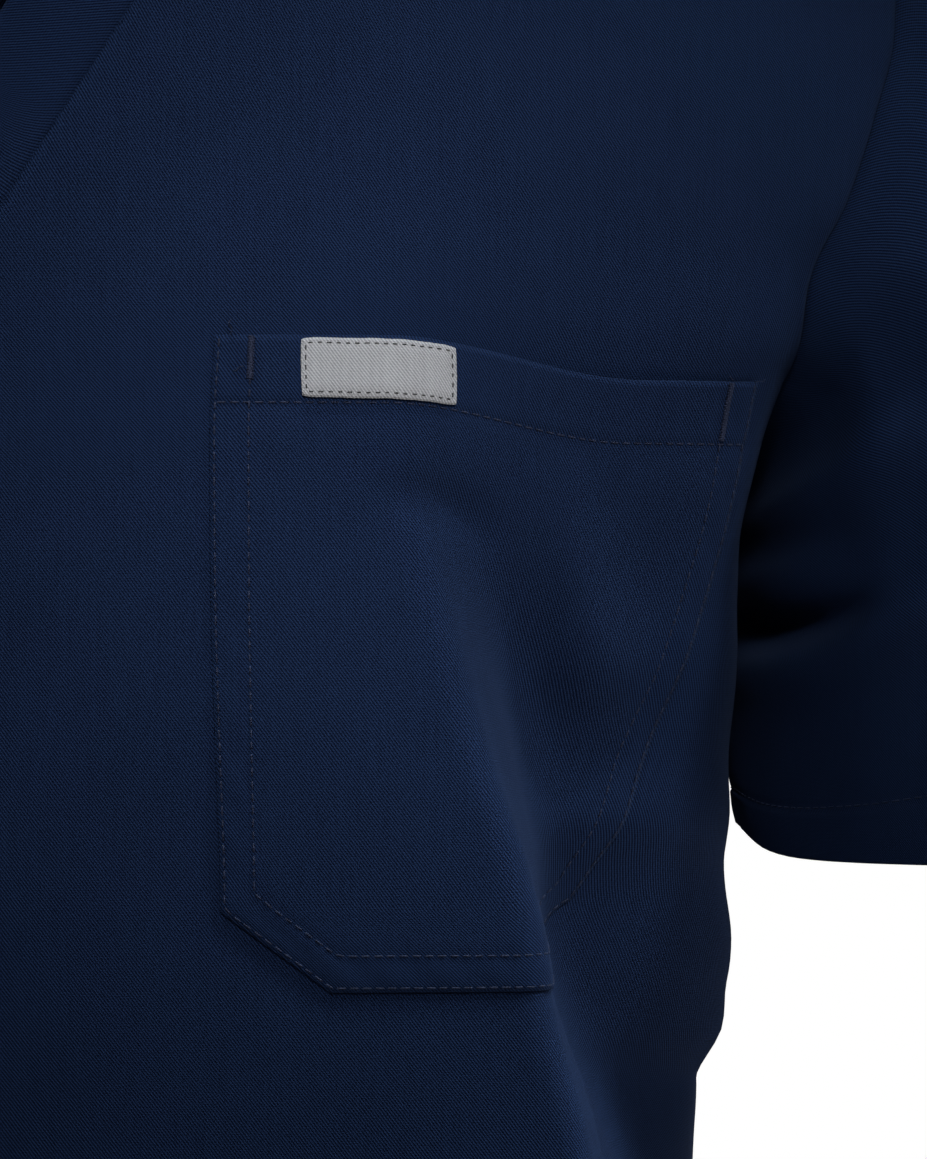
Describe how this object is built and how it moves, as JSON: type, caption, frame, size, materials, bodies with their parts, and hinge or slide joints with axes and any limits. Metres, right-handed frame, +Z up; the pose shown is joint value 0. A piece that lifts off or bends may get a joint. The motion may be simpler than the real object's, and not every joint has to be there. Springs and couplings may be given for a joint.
{
  "type": "medical scrubs set of top and trousers",
  "caption": "Worn medical scrubs: short-sleeved V-neck top with a chest pocket over straight pull-on trousers, hollow and open at neck, sleeves, hem and legs.",
  "frame": {"origin": "middle of the neck at the height of the shoulders, which carry the top", "axes": "+Z up, -Y the way the front looks, +X the wearer's left"},
  "size_m": [0.634, 0.277, 1.4503],
  "materials": {
    "cloth": "matt navy twill",
    "label": "grey woven label, bare"
  },
  "bodies": {
    "root": {"top_front": "cloth", "top_back": "cloth", "sleeve_left": "cloth", "sleeve_right": "cloth", "neck_band": "cloth", "chest_pocket": "cloth", "pocket_label": "label", "trouser_front_left": "cloth", "trouser_front_right": "cloth", "trouser_back_left": "cloth", "trouser_back_right": "cloth", "waistband": "cloth"}
  },
  "joints": []
}
